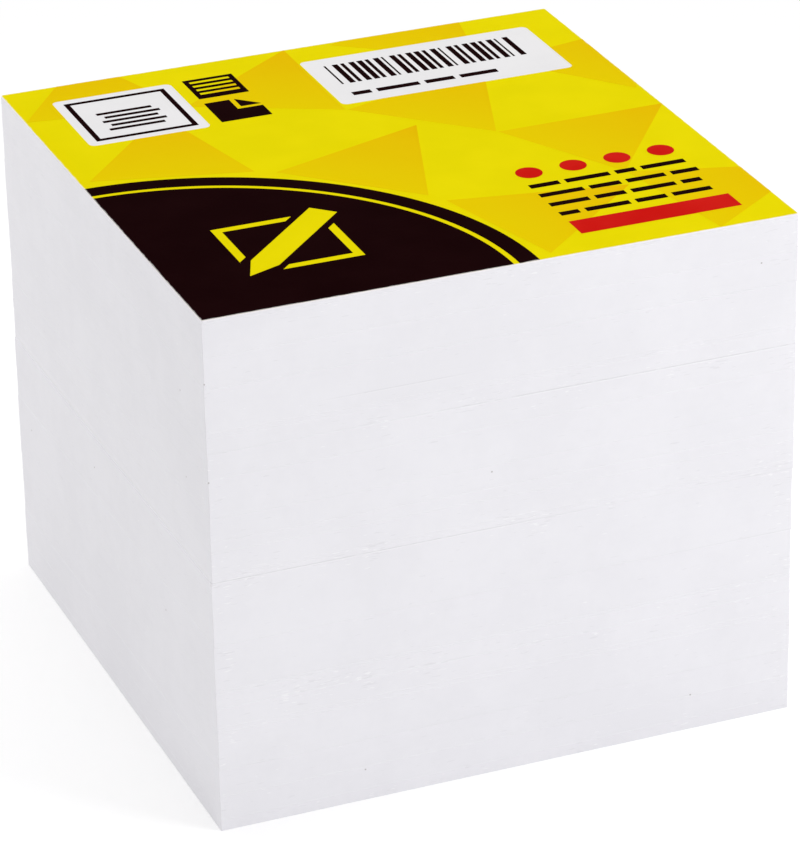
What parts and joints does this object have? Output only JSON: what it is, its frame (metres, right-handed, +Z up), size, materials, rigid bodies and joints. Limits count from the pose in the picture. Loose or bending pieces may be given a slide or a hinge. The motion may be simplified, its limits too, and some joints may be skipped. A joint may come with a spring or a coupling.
{
  "type": "memo cube",
  "caption": "Square block of loose white note sheets, cut in lifts and stacked flush, with a printed yellow cover card lying on top.",
  "frame": {"origin": "centre of the underside, where the block rests", "axes": "+X right along the front edge, +Y to the back, +Z up through the stack"},
  "size_m": [0.0902, 0.0902, 0.0803],
  "materials": {
    "note_paper": "uncoated bright white paper, cut edges",
    "cover_card": "thin white card printed yellow, near-black and red, satin"
  },
  "bodies": {
    "root": {"sheet_stack": "note_paper", "cover_sheet": "cover_card"}
  },
  "joints": []
}
